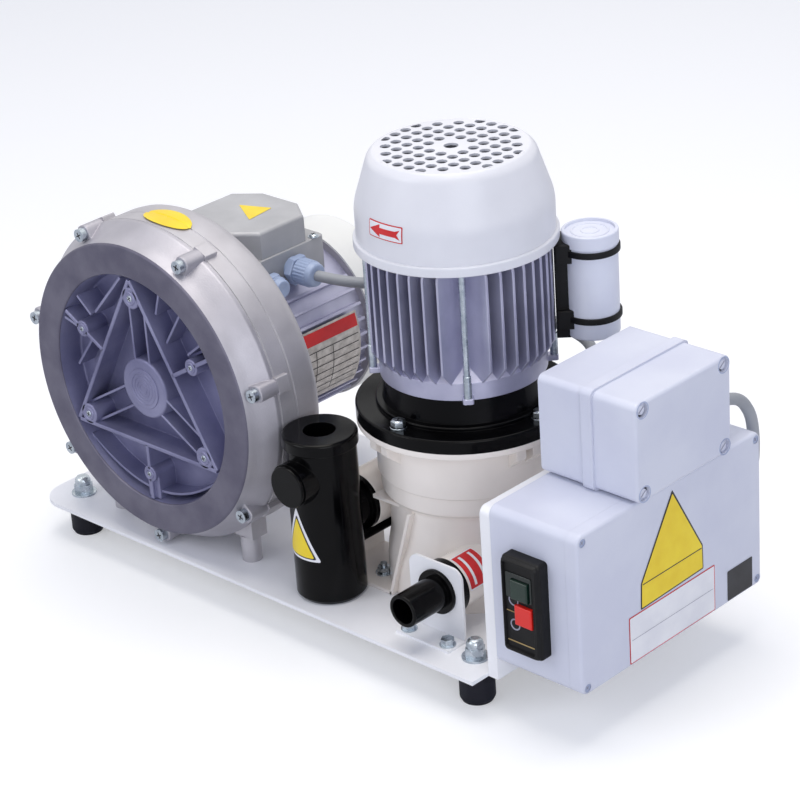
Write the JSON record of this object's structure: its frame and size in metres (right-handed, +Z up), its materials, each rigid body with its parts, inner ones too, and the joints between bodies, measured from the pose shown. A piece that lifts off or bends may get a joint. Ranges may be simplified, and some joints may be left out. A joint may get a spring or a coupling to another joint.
{
  "type": "dental suction unit",
  "caption": "Suction unit with a ribbed side-channel blower, an upright motor over an air and water separator, an inlet trap, a drain and electric boxes on one sheet chassis.",
  "frame": {"origin": "on the floor under the middle of the unit", "axes": "+X from the blower to the electric boxes, along the longest side; +Y to the back, the shortest side; +Z up"},
  "size_m": [0.5602, 0.2381, 0.369],
  "materials": {
    "white_paint": "satin",
    "black_paint": "gloss",
    "cast_aluminium": "cast, satin",
    "zinc": "bright zinc",
    "steel": "ground",
    "core_iron": "laminated",
    "rubber": "matte",
    "white_plastic": "satin",
    "grey_plastic": "fine grain",
    "black_plastic": "gloss",
    "green_plastic": "gloss",
    "red_plastic": "gloss",
    "cable_sheath": "matte"
  },
  "bodies": {
    "chassis": {"base_plate": "white_paint", "blower_cover": "cast_aluminium", "blower_end_shield": "cast_aluminium", "blower_fan_cowl": "white_paint", "blower_front_bearing": "steel", "blower_housing": "cast_aluminium", "blower_motor_housing": "cast_aluminium", "blower_rear_bearing": "steel", "blower_stator": "core_iron", "box_cable": "cable_sheath", "box_glands": "grey_plastic", "bracket_screws": "zinc", "capacitor": "grey_plastic", "capacitor_bracket": "black_plastic", "contactor": "black_plastic", "control_box_base": "grey_plastic", "control_box_lid": "grey_plastic", "control_box_screws": "zinc", "cover_screws": "zinc", "drain_stub": "black_plastic", "flange_bolts": "zinc", "foot_nuts": "zinc", "inlet_port_plug": "black_plastic", "inlet_trap": "black_plastic", "inlet_union": "black_plastic", "junction_box_base": "grey_plastic", "junction_box_lid": "grey_plastic", "junction_box_screws": "grey_plastic", "motor_cable": "cable_sheath", "motor_end_shield": "cast_aluminium", "motor_flange": "black_paint", "motor_hood": "white_paint", "motor_housing": "cast_aluminium", "motor_lower_bearing": "steel", "motor_stator": "core_iron", "motor_upper_bearing": "steel", "outlet_bracket": "white_paint", "outlet_cuff": "black_plastic", "outlet_spigot": "black_plastic", "rubber_feet": "rubber", "separator_leg": "white_plastic", "separator_leg_nut": "zinc", "separator_lower_housing": "white_plastic", "separator_upper_housing": "white_plastic", "side_panel": "white_paint", "support_posts": "zinc", "switch_plate_body": "grey_plastic", "terminal_box_base": "cast_aluminium", "terminal_box_lid": "cast_aluminium", "terminal_glands": "grey_plastic", "tie_rods": "zinc"},
    "blower_rotating": {"blower_rotor": "steel", "blower_impeller": "cast_aluminium", "blower_cooling_fan": "black_plastic"},
    "motor_rotating": {"motor_rotor": "steel", "motor_cooling_fan": "black_plastic", "separator_turbine": "white_plastic"},
    "start_key": {"start_button": "green_plastic"},
    "stop_key": {"stop_button": "red_plastic"}
  },
  "joints": [
    {"name": "blower_spin", "type": "hinge", "parent": "chassis", "child": "blower_rotating", "pos_m": [-0.1375, 0, 0.165], "axis": [0, 1, 0], "continuous": true},
    {"name": "motor_spin", "type": "hinge", "parent": "chassis", "child": "motor_rotating", "pos_m": [0.0855, 0.003, 0.2], "axis": [0, 0, 1], "continuous": true},
    {"name": "start_press", "type": "slide", "parent": "chassis", "child": "start_key", "axis": [0, 1, 0], "range_m": [0, 0.0035], "stiffness_N_per_m": 300, "springref_m": -0.002},
    {"name": "stop_press", "type": "slide", "parent": "chassis", "child": "stop_key", "axis": [0, 1, 0], "range_m": [0, 0.0035], "stiffness_N_per_m": 300, "springref_m": -0.002}
  ]
}
